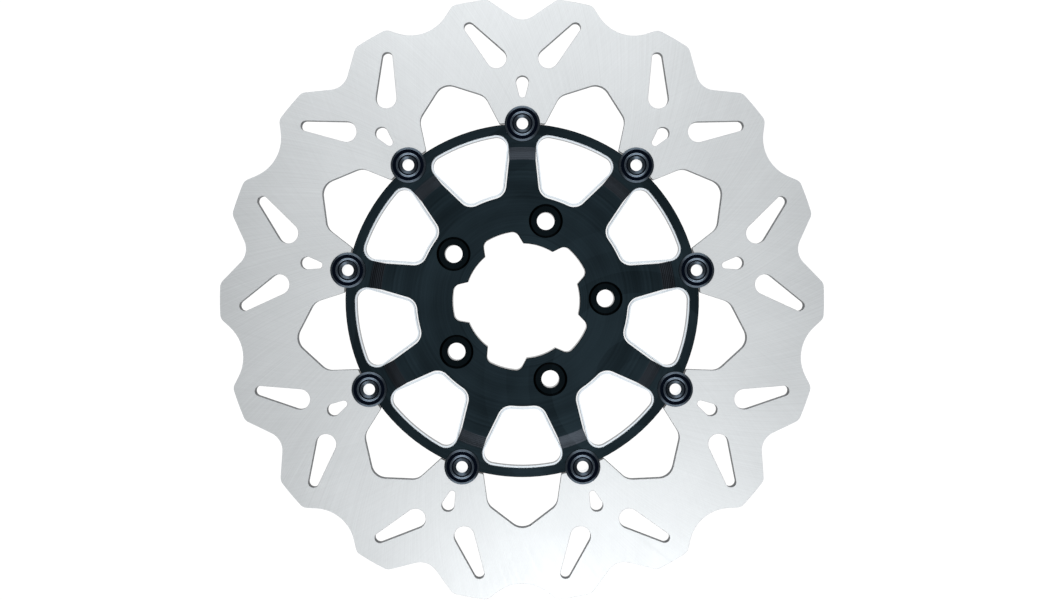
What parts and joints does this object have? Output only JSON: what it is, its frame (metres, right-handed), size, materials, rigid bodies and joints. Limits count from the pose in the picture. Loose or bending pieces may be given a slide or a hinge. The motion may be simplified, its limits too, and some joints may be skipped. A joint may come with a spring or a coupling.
{
  "type": "brake disc rotor",
  "caption": "Floating motorcycle brake disc: a wavy slotted stainless ring carried by a black spoked hub through round bobbins, with a bolt circle and wheel register.",
  "frame": {"origin": "centre of the five-bolt circle, on the flat back face of the hub where the disc meets the wheel", "axes": "+Z along the disc's axis, away from the wheel; +Y through the first bobbin"},
  "size_m": [0.3, 0.2976, 0.0101],
  "materials": {
    "ring_steel": "ground with fine crossing lines",
    "carrier_black": "black anodised, with bare bevelled window edges",
    "bobbin_black": "black anodised, polished turned rings",
    "washer_steel": "satin",
    "spring_steel": "oiled spring steel",
    "clip_steel": "phosphated"
  },
  "bodies": {
    "carrier": {"carrier": "carrier_black"},
    "brake_ring": {"brake_ring": "ring_steel"},
    "bobbin_1": {"bobbin_1": "bobbin_black", "flat_washer_1": "washer_steel", "spring_washer_1": "spring_steel", "retaining_clip_1": "clip_steel"},
    "bobbin_2": {"bobbin_2": "bobbin_black", "flat_washer_2": "washer_steel", "spring_washer_2": "spring_steel", "retaining_clip_2": "clip_steel"},
    "bobbin_3": {"bobbin_3": "bobbin_black", "flat_washer_3": "washer_steel", "spring_washer_3": "spring_steel", "retaining_clip_3": "clip_steel"},
    "bobbin_4": {"bobbin_4": "bobbin_black", "flat_washer_4": "washer_steel", "spring_washer_4": "spring_steel", "retaining_clip_4": "clip_steel"},
    "bobbin_5": {"bobbin_5": "bobbin_black", "flat_washer_5": "washer_steel", "spring_washer_5": "spring_steel", "retaining_clip_5": "clip_steel"},
    "bobbin_6": {"bobbin_6": "bobbin_black", "flat_washer_6": "washer_steel", "spring_washer_6": "spring_steel", "retaining_clip_6": "clip_steel"},
    "bobbin_7": {"bobbin_7": "bobbin_black", "flat_washer_7": "washer_steel", "spring_washer_7": "spring_steel", "retaining_clip_7": "clip_steel"},
    "bobbin_8": {"bobbin_8": "bobbin_black", "flat_washer_8": "washer_steel", "spring_washer_8": "spring_steel", "retaining_clip_8": "clip_steel"},
    "bobbin_9": {"bobbin_9": "bobbin_black", "flat_washer_9": "washer_steel", "spring_washer_9": "spring_steel", "retaining_clip_9": "clip_steel"}
  },
  "joints": [
    {"name": "ring_float", "type": "slide", "parent": "carrier", "child": "brake_ring", "axis": [0, 0, 1], "range_m": [-0.00015, 0.00015]},
    {"name": "bobbin_1_spin", "type": "hinge", "parent": "carrier", "child": "bobbin_1", "pos_m": [0, 0.08775, 0.0083], "axis": [0, 0, 1], "continuous": true},
    {"name": "bobbin_2_spin", "type": "hinge", "parent": "carrier", "child": "bobbin_2", "pos_m": [0.0564, 0.06722, 0.0083], "axis": [0, 0, 1], "continuous": true},
    {"name": "bobbin_3_spin", "type": "hinge", "parent": "carrier", "child": "bobbin_3", "pos_m": [0.08642, 0.01524, 0.0083], "axis": [0, 0, 1], "continuous": true},
    {"name": "bobbin_4_spin", "type": "hinge", "parent": "carrier", "child": "bobbin_4", "pos_m": [0.07599, -0.04387, 0.0083], "axis": [0, 0, 1], "continuous": true},
    {"name": "bobbin_5_spin", "type": "hinge", "parent": "carrier", "child": "bobbin_5", "pos_m": [0.03001, -0.08246, 0.0083], "axis": [0, 0, 1], "continuous": true},
    {"name": "bobbin_6_spin", "type": "hinge", "parent": "carrier", "child": "bobbin_6", "pos_m": [-0.03001, -0.08246, 0.0083], "axis": [0, 0, 1], "continuous": true},
    {"name": "bobbin_7_spin", "type": "hinge", "parent": "carrier", "child": "bobbin_7", "pos_m": [-0.07599, -0.04387, 0.0083], "axis": [0, 0, 1], "continuous": true},
    {"name": "bobbin_8_spin", "type": "hinge", "parent": "carrier", "child": "bobbin_8", "pos_m": [-0.08642, 0.01524, 0.0083], "axis": [0, 0, 1], "continuous": true},
    {"name": "bobbin_9_spin", "type": "hinge", "parent": "carrier", "child": "bobbin_9", "pos_m": [-0.0564, 0.06722, 0.0083], "axis": [0, 0, 1], "continuous": true}
  ]
}
